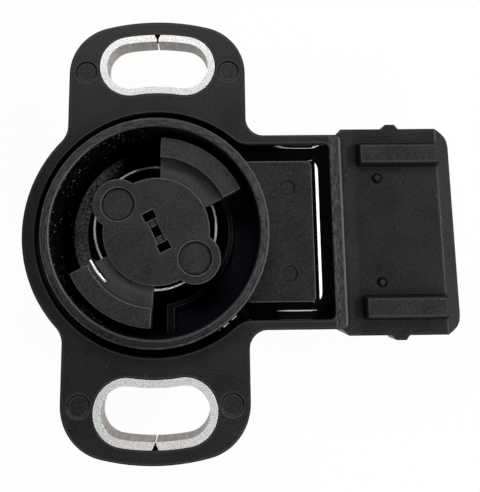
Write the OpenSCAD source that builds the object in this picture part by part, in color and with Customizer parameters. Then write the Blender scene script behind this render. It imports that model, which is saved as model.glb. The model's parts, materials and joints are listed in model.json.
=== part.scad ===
// Throttle position sensor with a sprung rotor, two slotted ears and a side connector.
// Millimetres. The rotor axis is the Z axis, Z = 0 is the mounting face of the flange,
// +Z points to the throttle body and +X to the connector.

/* [Mounting slots] */
// Distance between the centre lines of the two screw slots, through the axis
slot_spacing = 44.5; // [43.5:0.5:48]
// Clear width of a screw slot
slot_w = 6.2; // [5.4:0.1:6.8]
// Angle from the middle of a slot to the centre of its round end
slot_sweep = 9.35; // [6:0.05:10]
// Thickness of the metal strip that lines a slot
strip_t = 0.95; // [0.6:0.05:1.2]
// Height by which a slot bush stands proud of both faces of an ear
bush_proud = 0.1; // [0.05:0.05:0.3]
// Width of the split in a bush strip at its outer face
split_outer_w = 0.9; // [0.5:0.1:1.4]
// Width of the split in a bush strip at its inner face
split_inner_w = 0.2; // [0.1:0.05:0.4]

/* [Flange and ears] */
// Thickness of the ears
ear_t = 3.6; // [3:0.2:5]
// Half of the width of an ear
ear_half_w = 11.7; // [11:0.1:12.3]
// Plastic between a slot bush and the tip of its ear
ear_tip_wall = 1.8; // [1.2:0.1:3]
// Radius of the corners of the ears
ear_corner_r = 6.5; // [3:0.5:8]
// Radius of the fillet between an ear and the round body
ear_fillet_r = 3; // [1.5:0.5:4]
// Radius of the fillet between an ear and the arm
arm_fillet_r = 2.3; // [1:0.1:3]
// Thickness of a gusset under an ear
gusset_t = 1.4; // [1:0.1:2]
// Height of a gusset below its ear
gusset_h = 6.5; // [4:0.5:8]
// Radius of the ejector marks on the ears
ear_mark_r = 1.36; // [1:0.01:1.6]
// Depth of the ejector marks
mark_depth = 0.12; // [0.05:0.01:0.3]

/* [Housing body] */
// Thickness of the back wall
back_wall = 1.8; // [1.5:0.1:2.5]
// Plastic outside the round part of the potting well
disc_wall = 1.65; // [1.2:0.05:2.5]
// Plastic beside the straight part of the potting well
arm_wall = 1.2; // [1:0.1:2]
// Plastic past the end of the potting well
arm_end_wall = 1.5; // [1:0.1:2]
// Radius of the corners at the end of the arm
arm_corner_r = 0.8; // [0.4:0.1:1.2]
// Radius of the fillet where the round well opens into the straight one
well_fillet_r = 3; // [1.5:0.5:4]

/* [Cover] */
// Outer radius of the pilot collar
collar_r = 14.3; // [13.9:0.1:14.9]
// Depth of the relief under the fitted part of the collar
land_relief = 0.3; // [0.2:0.05:0.4]
// Height above the mounting face at which the fitted part of the collar starts
land_base = 0.3; // [0.2:0.1:0.8]
// Wall of the pilot collar
collar_wall = 1.2; // [1:0.1:1.5]
// Height of the pilot collar above the mounting face
collar_h = 3; // [2:0.1:5]
// Radius of the edges of the collar rim
rim_edge_r = 0.3; // [0.1:0.05:0.5]
// Length of the rectangular tab past the collar
tab_reach = 6; // [5.6:0.1:6.7]
// Width of the seat under the sides of the tab
tab_side_seat = 1.05; // [0.8:0.05:1.4]
// Width of the seat under the end of the tab
tab_end_seat = 1.3; // [1:0.1:1.6]
// Radius of the corners of the tab
tab_corner_r = 0.6; // [0.3:0.1:1]
// Thickness of the tab
tab_t = 1.6; // [1.2:0.1:2]
// Depth of the top of the tab below the mounting face
tab_drop = 0.8; // [0.4:0.1:1.2]
// Depth of the cup floor below the mounting face
cup_depth = 7.2; // [7:0.1:7.6]
// Thickness of the cup floor
cup_floor_t = 1.4; // [1:0.1:1.6]
// Clearance of the cup in its bore in the housing
cup_clearance = 0.1; // [0.05:0.05:0.2]
// Radius of the ejector marks on the tab
tab_mark_r = 1.06; // [0.8:0.01:1.4]
// Depth of the shelf right of the spring chamber, below the mounting face
shelf_depth = 4.1; // [3.7:0.1:4.6]
// Height of the bead along the edge of the shelf
bead_h = 0.9; // [0.5:0.1:1.2]
// Width of the bead
bead_w = 0.6; // [0.4:0.05:0.9]
// Gap between the spring coil and the shelf
shelf_gap = 1.05; // [0.8:0.05:1.2]
// Width of the straight wall that closes the shelf
shelf_wall_w = 1; // [0.7:0.1:1.3]
// Distance from the axis plane to the middle of that wall
shelf_wall_x = 1.7; // [1.4:0.1:2.4]
// Height of the curved ridge on the left of the cup floor
ridge_h = 1.9; // [1:0.1:2.4]

/* [Sealant] */
// Gap between the collar and the round well
seal_gap = 1.25; // [0.9:0.05:1.6]
// Gap between the sides of the tab and the straight well
seal_side_gap = 2.15; // [1.5:0.05:2.5]
// Gap between the end of the tab and the end of the well
seal_end_gap = 2.3; // [1.5:0.1:2.8]
// Depth of the sealant surface below the mounting face
seal_drop = 1.1; // [0.9:0.1:1.5]

/* [Rotor] */
// Radius of the rotor disc
rotor_r = 6.85; // [6.4:0.05:7]
// Height of the rotor face above the mounting face
rotor_face_h = 0.3; // [0:0.1:1]
// Thickness of the rotor disc
rotor_disc_t = 2.5; // [2.2:0.1:2.8]
// Distance from the axis to the centre of a lug
lug_offset = 6.05; // [5.6:0.05:6.3]
// Radius of a lug
lug_r = 3.25; // [2.8:0.05:3.4]
// Radius of the pit in a lug
pit_r = 2.15; // [1.6:0.05:2.3]
// Depth of the pit in a lug
pit_depth = 0.35; // [0.1:0.05:0.5]
// Gap between the drive arms and the inside of the collar
arm_tip_gap = 1.1; // [0.7:0.1:1.5]
// Width of the raised part of a drive arm
arm_land_w = 2.5; // [2.1:0.1:2.7]
// Angle at which a drive arm starts
arm_start_angle = 26; // [22:1:32]
// Angle that a drive arm takes up
arm_span = 61; // [50:1:66]
// Depth of the lower part of a drive arm below the rotor face
arm_step_depth = 0.9; // [0.5:0.1:1.2]
// Height of the raised part of a drive arm above the rotor face
arm_rise = 0.8; // [0.4:0.1:1.4]
// Radius of the rotor hub inside the return spring
hub_r = 5.2; // [4.6:0.1:5.6]
// Radius of the rotor shaft
shaft_r = 3; // [2.8:0.05:3.2]
// Running clearance of the shaft in the cover
shaft_clearance = 0.05; // [0.02:0.01:0.1]
// Radius of the stub that carries the wiper holder
stub_r = 2.2; // [1.9:0.1:2.4]

/* [Return spring] */
// Diameter of the spring wire
wire_d = 0.42; // [0.3:0.02:0.5]
// Mean radius of the spring coil
coil_r = 8.1; // [7.8:0.05:8.2]
// Gap between the lowest turn and the cup floor
coil_floor_gap = 0.665; // [0.4:0.005:0.9]
// Depth of the top turn below the mounting face
coil_top = 3; // [2.8:0.1:3.4]
// Number of turns
coil_turns = 3.5; // [2.5:0.25:4]

/* [Wipers and resistor plate] */
// Room between the end of the rotor and the printed tracks
wiper_room = 0.7; // [0.5:0.05:1.2]
// Thickness of the resistor plate
plate_t = 1; // [0.8:0.1:1.2]
// Clearance of the resistor plate in its chamber
plate_clearance = 0.3; // [0.2:0.1:0.5]
// Thickness of the printed tracks
track_t = 0.1; // [0.05:0.01:0.12]
// Width of the printed tracks
track_w = 1; // [0.7:0.1:1.2]
// Distance from the wall of the chamber to the outer track
track_inset = 4.1; // [3.9:0.1:4.4]
// Distance between the outer and the inner track
track_spacing = 2.1; // [1.9:0.1:2.3]
// Thickness of the wiper holder
holder_t = 1.4; // [1.2:0.1:1.5]
// Thickness of the wiper strips
wiper_t = 0.2; // [0.15:0.05:0.25]
// Width of a wiper finger
finger_w = 0.8; // [0.5:0.1:1]
// Gap between a finger tip and its track
contact_gap = 0.1; // [0.05:0.05:0.15]
// Thickness of the retaining clip
clip_t = 0.4; // [0.3:0.05:0.45]

/* [Connector] */
// Half of the width of the connector
conn_half_w = 13.3; // [12.9:0.1:14]
// Depth of the top face of the connector below the mounting face
conn_top = 1; // [0.6:0.1:1.4]
// Height of the underside of the connector above the back face
conn_back_rise = 0.8; // [0.4:0.1:1.4]
// Length of the connector from the end of the arm to its mouth
conn_len = 14.9; // [14:0.1:18]
// Wall of the connector socket
socket_wall = 1.7; // [1.3:0.1:1.9]
// Thickness of the plastic between the arm and the bottom of the socket
socket_floor_t = 1.9; // [1.5:0.1:2.5]
// Radius of the corners of the socket
socket_corner_r = 1; // [0.5:0.1:2]
// Length of the bevel round the mouth of the connector
nose_len = 2; // [1:0.1:2.5]
// Inset of the bevel at the mouth
nose_inset = 1.1; // [0.5:0.1:1.3]
// Distance from the axis plane to the inner edge of a rail
rail_inner_y = 8.3; // [7.5:0.1:8.8]
// Width of a rail
rail_w = 3; // [2:0.1:3.5]
// Height of a rail
rail_h = 1.4; // [0.8:0.1:2]
// Draft of the sides of a rail, at its top
rail_draft = 0.3; // [0.1:0.1:0.5]
// Height of the pips on top of the connector
pip_h = 0.35; // [0.2:0.05:0.6]
// Radius of the pips
pip_r = 0.45; // [0.3:0.05:0.6]
// Radius of the dish round a pip
pip_dish_r = 0.7; // [0.6:0.05:0.9]
// Height of the side bumps
bump_h = 0.6; // [0.3:0.1:1]
// Distance between neighbouring terminals
terminal_pitch = 4; // [3.4:0.1:4.2]
// Width of a terminal
terminal_w = 1.8; // [1.2:0.1:2.2]
// Space beside the outer terminals in the chamber
terminal_margin = 1.1; // [0.8:0.1:1.5]
// Thickness of a terminal
terminal_t = 0.64; // [0.5:0.02:0.8]
// Length of a terminal inside the socket
blade_len = 9.5; // [7:0.5:11]

/* [Hidden] */
$fn = 96;
// Length by which a cutting tool runs past the face that it opens
past = 1;
// Depth by which a fillet's circle crosses the outlines that it joins
fillet_bite = 0.004;

// Flange plan
slot_r = slot_spacing / 2;
bush_half_w = slot_w / 2 + strip_t;
ear_tip_r = slot_r + bush_half_w + ear_tip_wall;
cup_outer_r = collar_r - land_relief;
cup_r = collar_r - collar_wall;
outer_terminal_y = 1.5 * terminal_pitch;
chamber_half_w = outer_terminal_y + terminal_w / 2 + terminal_margin;
tab_half_w = chamber_half_w + tab_side_seat;
tab_end_x = collar_r + tab_reach;
well_r = collar_r + seal_gap;
disc_r = well_r + disc_wall;
well_half_w = tab_half_w + seal_side_gap;
well_end_x = tab_end_x + seal_end_gap;
arm_half_w = well_half_w + arm_wall;
arm_end_x = well_end_x + arm_end_wall;
ear_mark_x = ear_half_w - 2.25;
ear_mark_y = slot_r - 1.05;
tab_mark_x = tab_end_x - 3.3;
tab_mark_y = tab_half_w - 3.55;
gusset_root_y = disc_r - 4.4;
gusset_end_y = slot_r + 1.2;
gusset_foot_w = 1.8;
gusset_inset = 0.3;

// Heights
ledge_z = -tab_drop - tab_t;
cup_top_z = -cup_depth;
cup_base_z = cup_top_z - cup_floor_t;
clip_gap = 0.2;
clip_z = cup_base_z - clip_gap;
shaft_end_z = clip_z - clip_t - 0.4;
holder_base_z = shaft_end_z - holder_t;
stake_h = 0.4;
track_top_z = holder_base_z - stake_h - wiper_room;
plate_top_z = track_top_z - track_t;
chamber_z = plate_top_z - plate_t;
back_z = chamber_z - back_wall;

// Chamber under the cover
seat_w = 1.3;
chamber_r = cup_outer_r - seat_w;
chamber_end_x = tab_end_x - tab_end_seat;

// Spring chamber in the cup, angles counted from +X
shelf_r = coil_r + wire_d / 2 + shelf_gap;
shelf_start_angle = 64;
shelf_end_angle = -82;
shelf_z = -shelf_depth;
ridge_inner_r = shelf_r + 0.25;
ridge_w = 1.9;
ridge_angles = [118, 202];

// Rotor heights and stops
face_z = rotor_face_h;
disc_base_z = face_z - rotor_disc_t;
arm_low_z = face_z - arm_step_depth;
arm_top_z = face_z + arm_rise;
arm_tip_r = cup_r - arm_tip_gap;
step_r = arm_tip_r - arm_land_w;
thrust_gap = 0.1;
hub_base_z = cup_top_z + thrust_gap;
stop_r = hub_r + 1.4;
stop_h = 1.6;
stop_lug_angles = [100, 130];
stop_gap_angle = 3;
rotor_travel = 100;
stop_spare_angle = 6;
stop_post_angle = 16;
lug_angle = 145;

// Windows in the rotor face
window_line_angle = 116.3;
window_pitch = 2.17;
window_depth = 4.5;
window_sizes = [[1.1, 1.6], [1.4, 1.05], [1.1, 1.6]];
strip_w = 1.1;
strip_depth = 0.25;

// Clip and wiper holder on the shaft
groove_r = shaft_r - 0.4;
clip_outer_r = shaft_r + 1.3;
fit_gap = 0.02;
stake_r = stub_r + 0.5;
holder_angle = 120;
holder_half_w = 2.6;
outer_track_r = chamber_r - track_inset;
inner_track_r = outer_track_r - track_spacing;
finger_angle = 42.6;
finger_reach = inner_track_r * sin(finger_angle);
finger_run = 1.4;
tip_z = track_top_z + contact_gap;

// Connector
conn_start_x = arm_end_x - 0.7;
conn_end_x = arm_end_x + conn_len;
conn_base_z = back_z + conn_back_rise;
socket_x = arm_end_x + socket_floor_t;
blade_z = (conn_base_z - conn_top) / 2;
blade_tip_x = socket_x + blade_len;
rail_start_x = arm_end_x + 2.2;
rail_len = 10.8;
rail_corner_r = 0.45;
nose_corner = 1.3;
bump_x = arm_end_x + 6.9;
bump_base = 2.2;
bump_top = 1.2;
pip_x = arm_end_x + 4.8;
pip_y = rail_inner_y - 1.6;
pip_dish_depth = 0.1;
ramp_x = conn_end_x - 8;
ramp_len = 4;
ramp_half_w = 3.2;
ramp_h = 0.7;
leg_x = chamber_end_x - 2.6;
bend_r = 0.6;
blade_taper = 1.2;
blade_tip_t = 0.3;
pad_y = [for (i = [0 : 3]) outer_terminal_y - terminal_pitch * i];

plastic = [0.15, 0.155, 0.16];
rotor_grey = [0.22, 0.22, 0.225];
cover_grey = [0.19, 0.19, 0.195];
zinc = [0.62, 0.62, 0.6];
steel = [0.75, 0.75, 0.74];

function polar(r, a) = [r * cos(a), r * sin(a)];
function unit(v) = v / norm(v);
function wedge_points(r, a0, a1, n) =
    [[0, 0], for (i = [0 : n]) polar(r, a0 + (a1 - a0) * i / n)];

// Flat region between two angles
module wedge(r, a0, a1) {
    n = ceil(abs(a1 - a0) / 30);
    polygon(wedge_points(r / cos(15) + past, a0, a1, n));
}

// Flat part of a ring between two radii and two angles
module ring_sector(r0, r1, a0, a1) {
    intersection() {
        difference() {
            circle(r1);
            circle(r0);
        }
        wedge(r1, a0, a1);
    }
}

// Flat outline swept along X, with its X as Y and its Y as Z
module along_x(x0, x1) {
    translate([x0, 0, 0]) rotate([90, 0, 90]) linear_extrude(x1 - x0) children();
}

// Flat outline swept along Y, with its Y as Z
module along_y(y0, y1) {
    translate([0, y1, 0]) rotate([90, 0, 0]) linear_extrude(y1 - y0) children();
}

// Flat outline swept from height z0 to height z1
module along_z(z0, z1) {
    translate([0, 0, z0]) linear_extrude(z1 - z0) children();
}

// Children, and their mirror image across the XZ plane
module both_sides() {
    children();
    mirror([0, 1, 0]) children();
}

// Centre of a fillet between a circle about the origin and the line y = h; the fillet
// crosses both by a hair, so that their outlines meet at a point and don't just touch
function fillet_centre(r, h, f) =
    let (reach = f - fillet_bite) [sqrt(pow(r + reach, 2) - pow(h + reach, 2)), h + reach];

// Area that such a fillet fills, with its circle still in it
module fillet_web(r, h, f) {
    c = fillet_centre(r, h, f);
    inner_y = h - f / 3;
    polygon([[sqrt(r * r - h * h), inner_y], c * (r - fillet_bite) / norm(c), c, [c[0], inner_y]]);
}

// Rectangle from the origin to x, with round corners at its far end
module round_ended(x, half_w, r) {
    translate([0, -half_w]) square([x - r, 2 * half_w]);
    translate([0, r - half_w]) square([x, 2 * (half_w - r)]);
    for (s = [-1, 1]) translate([x - r, s * (half_w - r)]) circle(r);
}

// Rectangle with round corners
module round_cornered(x0, x1, y0, y1, r) {
    translate([x0 + r, y0]) square([x1 - x0 - 2 * r, y1 - y0]);
    translate([x0, y0 + r]) square([x1 - x0, y1 - y0 - 2 * r]);
    for (x = [x0 + r, x1 - r], y = [y0 + r, y1 - r]) translate([x, y]) circle(r);
}

// Arc slot about the axis with round ends, at the top ear
module arc_slot(half_w) {
    ring_sector(slot_r - half_w, slot_r + half_w, 90 - slot_sweep, 90 + slot_sweep);
    for (s = [-1, 1]) translate(polar(slot_r, 90 + s * slot_sweep)) circle(half_w);
}

module ear_outline() {
    corner_x = ear_half_w - ear_corner_r;
    corner_y = sqrt(pow(ear_tip_r - ear_corner_r, 2) - corner_x * corner_x);
    tip_angle = atan2(corner_x, corner_y);
    translate([-ear_half_w, 0]) square([2 * ear_half_w, corner_y]);
    for (s = [-1, 1]) translate([s * corner_x, corner_y]) circle(ear_corner_r);
    intersection() {
        circle(ear_tip_r);
        wedge(ear_tip_r, 90 - tip_angle, 90 + tip_angle);
    }
    mirror([1, 0]) mirror([1, -1]) difference() {
        fillet_web(disc_r, ear_half_w, ear_fillet_r);
        translate(fillet_centre(disc_r, ear_half_w, ear_fillet_r)) circle(ear_fillet_r);
    }
    translate([ear_half_w, arm_half_w]) difference() {
        square(arm_fillet_r);
        translate([arm_fillet_r, arm_fillet_r]) circle(arm_fillet_r);
    }
}

module body_outline() {
    circle(disc_r);
    round_ended(arm_end_x, arm_half_w, arm_corner_r);
}

// Potting well, or what fills it, between two heights
module well_block(z0, z1) {
    difference() {
        union() {
            along_z(z0, z1) circle(well_r);
            along_z(z0, z1) round_ended(well_end_x, well_half_w, arm_corner_r);
            both_sides() along_z(z0, z1) fillet_web(well_r, well_half_w, well_fillet_r);
        }
        both_sides()
            translate(concat(fillet_centre(well_r, well_half_w, well_fillet_r), z0 - past))
                cylinder(h = z1 - z0 + 2 * past, r = well_fillet_r);
    }
}

module cover_outline() {
    circle(cup_outer_r);
    round_ended(tab_end_x, tab_half_w, tab_corner_r);
}

module chamber_outline(gap) {
    circle(chamber_r - gap);
    translate([0, gap - chamber_half_w]) square([chamber_end_x - gap, 2 * (chamber_half_w - gap)]);
}

module gussets() {
    top_z = -ear_t + 0.5;
    base_z = -ear_t - gusset_h;
    for (s = [-1, 1])
        translate([s * (ear_half_w - gusset_t / 2 - gusset_inset), 0, 0])
            along_x(-gusset_t / 2, gusset_t / 2)
                polygon([[gusset_root_y, top_z], [gusset_end_y, top_z], [gusset_end_y, -ear_t],
                         [gusset_root_y + gusset_foot_w, base_z], [gusset_root_y, base_z]]);
}

// Four points that round the corner q between p and s over a length r
function eased(p, q, s, r) =
    let (a = q + r * unit(p - q), b = q + r * unit(s - q))
    [for (i = [0 : 3]) let (t = i / 3) (1 - t) * (1 - t) * a + 2 * t * (1 - t) * q + t * t * b];

module connector_shell() {
    corner = 1;
    low_bevel = [conn_end_x - nose_len, -conn_half_w];
    low_nose = [conn_end_x, nose_inset - conn_half_w];
    high_nose = [conn_end_x, conn_half_w - nose_inset];
    high_bevel = [conn_end_x - nose_len, conn_half_w];
    intersection() {
        along_z(conn_base_z, -conn_top)
            polygon(concat([[conn_start_x, -conn_half_w + corner], [conn_start_x + corner, -conn_half_w],
                            low_bevel],
                           eased(low_bevel, low_nose, high_nose, nose_corner),
                           eased(low_nose, high_nose, high_bevel, nose_corner),
                           [high_bevel, [conn_start_x + corner, conn_half_w],
                            [conn_start_x, conn_half_w - corner]]));
        along_y(-conn_half_w, conn_half_w)
            polygon([[conn_start_x, conn_base_z], [conn_end_x - nose_len, conn_base_z],
                     [conn_end_x, conn_base_z + nose_inset], [conn_end_x, -conn_top - nose_inset],
                     [conn_end_x - nose_len, -conn_top], [conn_start_x, -conn_top]]);
    }
}

// One of the two drafted rails on top of the connector
module rail() {
    top_z = rail_h - conn_top;
    foot_z = -conn_top - 0.5;
    outer_y = rail_inner_y + rail_w;
    intersection() {
        along_x(rail_start_x, rail_start_x + rail_len)
            polygon([[rail_inner_y, foot_z], [outer_y, foot_z], [outer_y, -conn_top],
                     [outer_y - rail_draft, top_z], [rail_inner_y + rail_draft, top_z],
                     [rail_inner_y, -conn_top]]);
        along_y(rail_inner_y, outer_y)
            polygon([[rail_start_x, foot_z], [rail_start_x + rail_len, foot_z],
                     [rail_start_x + rail_len, -conn_top],
                     [rail_start_x + rail_len - rail_draft, top_z],
                     [rail_start_x + rail_draft, top_z], [rail_start_x, -conn_top]]);
        along_z(foot_z, top_z)
            round_cornered(rail_start_x, rail_start_x + rail_len, rail_inner_y, outer_y, rail_corner_r);
    }
}

// Bump on the side of the connector
module side_bump() {
    along_z(-conn_top - 4, -conn_top)
        polygon([[bump_x - bump_base / 2, conn_half_w - 0.5], [bump_x + bump_base / 2, conn_half_w - 0.5],
                 [bump_x + bump_base / 2, conn_half_w], [bump_x + bump_top / 2, conn_half_w + bump_h],
                 [bump_x - bump_top / 2, conn_half_w + bump_h], [bump_x - bump_base / 2, conn_half_w]]);
}

// Small pip beside a rail, and the shallow dish that is cut round it
module pip() {
    translate([pip_x, pip_y, -conn_top - 0.5]) cylinder(h = pip_h + 0.5, r = pip_r);
}
module pip_dish() {
    translate([pip_x, pip_y, -conn_top - pip_dish_depth]) difference() {
        cylinder(h = past, r = pip_dish_r);
        cylinder(h = past, r = pip_r);
    }
}

// Ramp under the connector that a plug's latch snaps over
module latch_ramp() {
    along_y(-ramp_half_w, ramp_half_w)
        polygon([[ramp_x, conn_base_z + 0.5], [ramp_x + ramp_len, conn_base_z + 0.5],
                 [ramp_x + ramp_len, conn_base_z], [ramp_x + 0.6, conn_base_z - ramp_h],
                 [ramp_x, conn_base_z - ramp_h]]);
}

module socket_cut() {
    half_w = conn_half_w - socket_wall;
    base_z = conn_base_z + socket_wall;
    top_z = -conn_top - socket_wall;
    along_x(socket_x, conn_end_x + past) round_cornered(-half_w, half_w, base_z, top_z, socket_corner_r);
}

module housing() {
    color(plastic)
    difference() {
        union() {
            along_z(-ear_t, 0) both_sides_flat() ear_outline();
            along_z(back_z, 0) body_outline();
            both_sides() gussets();
            connector_shell();
            both_sides() rail();
            both_sides() side_bump();
            both_sides() pip();
            latch_ramp();
        }
        along_z(-ear_t - past, past) both_sides_flat() arc_slot(bush_half_w);
        well_block(ledge_z, past);
        both_sides() pip_dish();
        along_z(cup_base_z, ledge_z + past) circle(cup_outer_r + cup_clearance);
        along_z(chamber_z, ledge_z + past) intersection() {
            chamber_outline(0);
            union() {
                circle(chamber_r);
                translate([cup_outer_r, -chamber_half_w]) square([chamber_end_x, 2 * chamber_half_w]);
            }
        }
        along_z(chamber_z, cup_base_z + past / 2) chamber_outline(0);
        socket_cut();
        for (y = pad_y) translate([0, y, 0]) terminal_bar(chamber_end_x - past, socket_x + past);
        for (x = [-ear_mark_x, ear_mark_x], y = [-ear_mark_y, ear_mark_y])
            translate([x, y, -mark_depth]) cylinder(h = past, r = ear_mark_r);
    }
}

module both_sides_flat() {
    children();
    mirror([0, 1]) children();
}

// Strip bent round a slot, with its ends meeting at a split on the outer side
module slot_bush() {
    color(zinc)
    along_z(-ear_t - bush_proud, bush_proud)
        difference() {
            arc_slot(bush_half_w);
            arc_slot(slot_w / 2);
            polygon([[-split_inner_w / 2, slot_r], [split_inner_w / 2, slot_r],
                     [split_inner_w / 2, slot_r + slot_w / 2 + strip_t / 3],
                     [split_outer_w / 2, slot_r + bush_half_w + 0.01],
                     [split_outer_w / 2, slot_r + bush_half_w + past],
                     [-split_outer_w / 2, slot_r + bush_half_w + past],
                     [-split_outer_w / 2, slot_r + bush_half_w + 0.01],
                     [-split_inner_w / 2, slot_r + slot_w / 2 + strip_t / 3]]);
        }
}

module top_slot_bush() { slot_bush(); }
module bottom_slot_bush() { mirror([0, 1, 0]) slot_bush(); }

// Collar and cup floor as one turned profile
module cup() {
    rim = rim_edge_r;
    rotate_extrude() {
        translate([cup_r, cup_base_z]) square([cup_outer_r - cup_r, collar_h - rim - cup_base_z]);
        translate([cup_r, land_base]) square([collar_wall, collar_h - rim - land_base]);
        translate([cup_r + rim, land_base]) square([collar_wall - 2 * rim, collar_h - land_base]);
        for (x = [cup_r + rim, collar_r - rim]) translate([x, collar_h - rim]) circle(rim);
        translate([shaft_r + shaft_clearance, cup_base_z])
            square([cup_r - shaft_r - shaft_clearance + 0.1, cup_floor_t]);
    }
}

// Shelf right of the spring chamber, the bead along its edge and the wall down to the collar
module shelf() {
    wall_start_x = shelf_wall_x - shelf_wall_w / 2;
    wall_low_y = -sqrt(cup_r * cup_r - shelf_wall_x * shelf_wall_x);
    wall_high_y = -sqrt(shelf_r * shelf_r - wall_start_x * wall_start_x);
    along_z(cup_top_z - 0.1, shelf_z)
        ring_sector(shelf_r, cup_r + 0.1, shelf_end_angle, shelf_start_angle);
    along_z(cup_top_z - 0.1, shelf_z + bead_h) {
        ring_sector(shelf_r, shelf_r + bead_w, shelf_end_angle, shelf_start_angle);
        translate([wall_start_x, wall_low_y]) square([shelf_wall_w, wall_high_y - wall_low_y]);
    }
}

module ridge() {
    along_z(cup_top_z - 0.1, cup_top_z + ridge_h) {
        ring_sector(ridge_inner_r, ridge_inner_r + ridge_w, ridge_angles[0], ridge_angles[1]);
        for (a = ridge_angles) translate(polar(ridge_inner_r + ridge_w / 2, a)) circle(ridge_w / 2);
    }
}

// Two posts on the cup floor that stop the rotor at the ends of its turn
module stop_posts() {
    rest_face = stop_lug_angles[1] + stop_gap_angle;
    end_face = stop_lug_angles[0] - rotor_travel - stop_spare_angle;
    along_z(cup_top_z - 0.1, cup_top_z + stop_h) {
        ring_sector(hub_r + 0.3, stop_r, rest_face, rest_face + stop_post_angle);
        ring_sector(hub_r + 0.3, stop_r, end_face - stop_post_angle, end_face);
    }
}

module cover() {
    color(cover_grey)
    difference() {
        union() {
            cup();
            shelf();
            ridge();
            stop_posts();
            along_z(ledge_z, -tab_drop) difference() {
                round_ended(tab_end_x, tab_half_w, tab_corner_r);
                circle(collar_r - collar_wall / 2);
            }
        }
        for (y = [-tab_mark_y, tab_mark_y])
            translate([tab_mark_x, y, -tab_drop - mark_depth]) cylinder(h = past, r = tab_mark_r);
        spring_anchor_cut();
    }
}

module sealant() {
    color([0.03, 0.03, 0.035])
    difference() {
        well_block(ledge_z, -seal_drop);
        along_z(ledge_z - past, past) cover_outline();
    }
}

// Drive arm as a stepped section turned through its span
module drive_arm() {
    root_r = rotor_r - 0.5;
    rotate([0, 0, arm_start_angle]) rotate_extrude(angle = arm_span)
        polygon([[root_r, disc_base_z], [arm_tip_r, disc_base_z], [arm_tip_r, arm_top_z],
                 [step_r, arm_top_z], [step_r, arm_low_z], [root_r, arm_low_z]]);
}

module rotor_blank() {
    along_z(disc_base_z, face_z) {
        circle(rotor_r);
        for (a = [lug_angle, lug_angle + 180]) translate(polar(lug_offset, a)) circle(lug_r);
    }
    for (a = [0, 180]) rotate([0, 0, a]) drive_arm();
    along_z(hub_base_z, disc_base_z + 0.5) circle(hub_r);
    along_z(hub_base_z, hub_base_z + stop_h - 0.3)
        ring_sector(hub_r - 0.5, stop_r, stop_lug_angles[0], stop_lug_angles[1]);
    along_z(shaft_end_z, hub_base_z + 0.5) circle(shaft_r);
    along_z(holder_base_z, shaft_end_z + 0.5) circle(stub_r);
    along_z(holder_base_z - stake_h, holder_base_z) circle(stake_r);
}

module rotor() {
    color(rotor_grey)
    difference() {
        rotor_blank();
        for (a = [lug_angle, lug_angle + 180])
            translate(concat(polar(lug_offset, a), face_z - pit_depth)) cylinder(h = past, r = pit_r);
        rotate([0, 0, window_line_angle]) {
            translate([-window_pitch, -strip_w / 2, face_z - strip_depth])
                cube([2 * window_pitch, strip_w, past]);
            for (i = [0 : 2])
                translate([(i - 1) * window_pitch, 0, face_z - window_depth])
                    translate([-window_sizes[i][0] / 2, -window_sizes[i][1] / 2, 0])
                        cube([window_sizes[i][0], window_sizes[i][1], window_depth + past]);
        }
        along_z(clip_z - clip_t - fit_gap, clip_z + fit_gap) difference() {
            circle(shaft_r + past);
            circle(groove_r);
        }
        leg_trench();
    }
}

// Return spring: a coil of round wire that sits a little off the axis. Its upper leg lies on the
// lower drive arm and hooks down beside it, and its lower leg is let into the shelf of the cover
coil_centre = [-0.4, 0.65];
coil_start_angle = 235;
wire_rings_per_turn = 26;
wire_sides = 8;
leg_z = arm_low_z - 0.08;
leg_gap = 0.06;
leg_outer = coil_centre + polar(coil_r + 1.01, 207.95);
leg_inner = coil_centre + polar(coil_r + 1.14, 228.9);
hook_steps = [[1.05, 206.6, 0.2], [1.1, 206.1, 0.6], [1.1, 206.1, 1.2], [1.05, 206.7, 1.75],
              [0.75, 209.5, 2.12]];
anchor_z = cup_top_z + coil_floor_gap + wire_d / 2;
coil_pitch = (-coil_top - anchor_z) / coil_turns;
anchor_angle = coil_start_angle + 360 * coil_turns;
anchor_reach = 2.6;

function coil_point(t) =
    let (p = coil_centre + polar(coil_r, coil_start_angle + 360 * t))
    [p[0], p[1], -coil_top - coil_pitch * t];
function hook_point(step) =
    let (p = coil_centre + polar(coil_r + step[0], step[1]))
    [p[0], p[1], leg_z - step[2]];
function anchor_point(d) =
    let (p = coil_centre + polar(coil_r + d, anchor_angle))
    [p[0], p[1], anchor_z];
spring_path = concat(
    [concat(leg_inner, leg_z), concat((leg_inner + leg_outer) / 2, leg_z), concat(leg_outer, leg_z)],
    [for (step = hook_steps) hook_point(step)],
    [for (i = [0 : wire_rings_per_turn * coil_turns]) coil_point(i / wire_rings_per_turn)],
    [for (d = [0.5, 1.2, anchor_reach]) anchor_point(d)]);

function path_dir(p, i) =
    unit(i == 0 ? p[1] - p[0] : i == len(p) - 1 ? p[i] - p[i - 1]
         : unit(p[i + 1] - p[i]) + unit(p[i] - p[i - 1]));

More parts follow.
